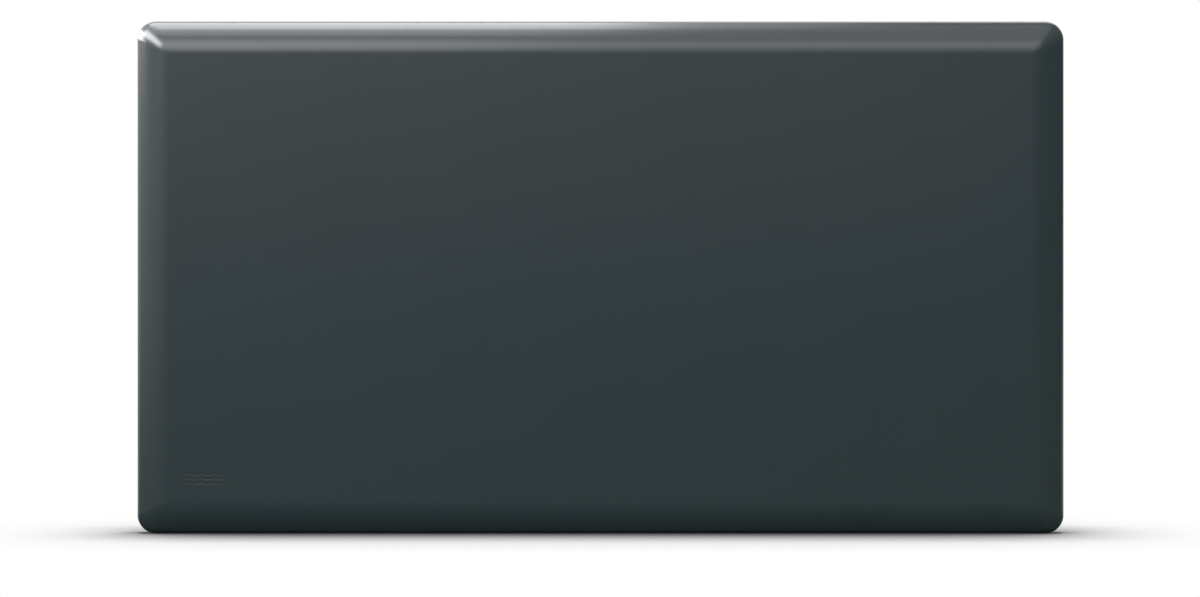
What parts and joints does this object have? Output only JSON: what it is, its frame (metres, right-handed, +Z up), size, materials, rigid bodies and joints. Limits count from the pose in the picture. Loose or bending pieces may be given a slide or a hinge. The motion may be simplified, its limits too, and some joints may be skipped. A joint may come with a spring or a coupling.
{
  "type": "infrared panel heater",
  "caption": "Wall-hung infrared panel heater: a flat powder-coated metal pan with a rounded rim, and on its back keyhole brackets and a connection box with a rocker switch and a cable gland.",
  "frame": {"origin": "on the ground plane under the lower edge, midway across the width and midway between the radiant face and the wall plane", "axes": "+X to the right seen from the front, +Y from the radiant face towards the wall, +Z up"},
  "size_m": [0.995, 0.07, 0.55],
  "materials": {
    "powder_coat": "satin",
    "galvanised_steel": "satin",
    "zinc_plated_steel": "satin",
    "rivet_aluminium": "satin",
    "box_plastic": "satin",
    "rocker_plastic": "gloss",
    "gland_plastic": "satin",
    "black_rubber": "matte",
    "heating_film": "satin",
    "copper": "satin",
    "brass": "satin",
    "foil": "gloss",
    "mineral_wool": "matte",
    "ceramic": "matte",
    "terminal_plastic": "satin",
    "silicone_red": "satin",
    "silicone_blue": "satin",
    "silicone_green": "satin"
  },
  "bodies": {
    "panel": {"front_panel": "powder_coat", "back_panel": "galvanised_steel", "back_screw_1": "zinc_plated_steel", "back_screw_2": "zinc_plated_steel", "back_screw_3": "zinc_plated_steel", "back_screw_4": "zinc_plated_steel", "back_screw_5": "zinc_plated_steel", "back_screw_6": "zinc_plated_steel", "back_screw_7": "zinc_plated_steel", "back_screw_8": "zinc_plated_steel", "back_screw_9": "zinc_plated_steel", "back_screw_10": "zinc_plated_steel", "heating_film": "heating_film", "busbar_lower": "copper", "busbar_upper": "copper", "reflector_foil": "foil", "insulation_board": "mineral_wool", "thermal_cutout_left": "ceramic", "thermal_cutout_right": "ceramic", "lead_between_cutouts": "silicone_red", "lead_to_upper_busbar": "silicone_red", "lead_live_to_switch": "silicone_red", "lead_switch_to_cutout": "silicone_red", "lead_neutral": "silicone_blue", "lead_earth": "silicone_green", "wall_bracket_lower_left": "galvanised_steel", "wall_bracket_lower_right": "galvanised_steel", "wall_bracket_upper_left": "galvanised_steel", "wall_bracket_upper_right": "galvanised_steel", "rivet_1": "rivet_aluminium", "rivet_2": "rivet_aluminium", "rivet_3": "rivet_aluminium", "rivet_4": "rivet_aluminium", "rivet_5": "rivet_aluminium", "rivet_6": "rivet_aluminium", "rivet_7": "rivet_aluminium", "rivet_8": "rivet_aluminium", "box_base": "box_plastic", "box_lid": "box_plastic", "lid_screw_1": "zinc_plated_steel", "lid_screw_2": "zinc_plated_steel", "box_screw_1": "zinc_plated_steel", "box_screw_2": "zinc_plated_steel", "lead_grommet": "black_rubber", "terminal_block": "terminal_plastic", "terminal_clamp_earth": "brass", "terminal_clamp_neutral": "brass", "terminal_clamp_live": "brass", "earth_stud": "brass", "earth_nut": "zinc_plated_steel", "earth_ring_terminal": "zinc_plated_steel", "gland_body": "gland_plastic", "gland_nut": "gland_plastic", "gland_seal": "black_rubber", "gland_locknut": "gland_plastic", "switch_housing": "box_plastic", "switch_blade_upper": "brass", "switch_blade_lower": "brass"},
    "rocker": {"switch_rocker": "rocker_plastic"}
  },
  "joints": [
    {"name": "rocker_tilt", "type": "hinge", "parent": "panel", "child": "rocker", "pos_m": [0.4682, 0.022, 0.085], "axis": [0, -1, 0], "range_deg": [0, 24]}
  ]
}
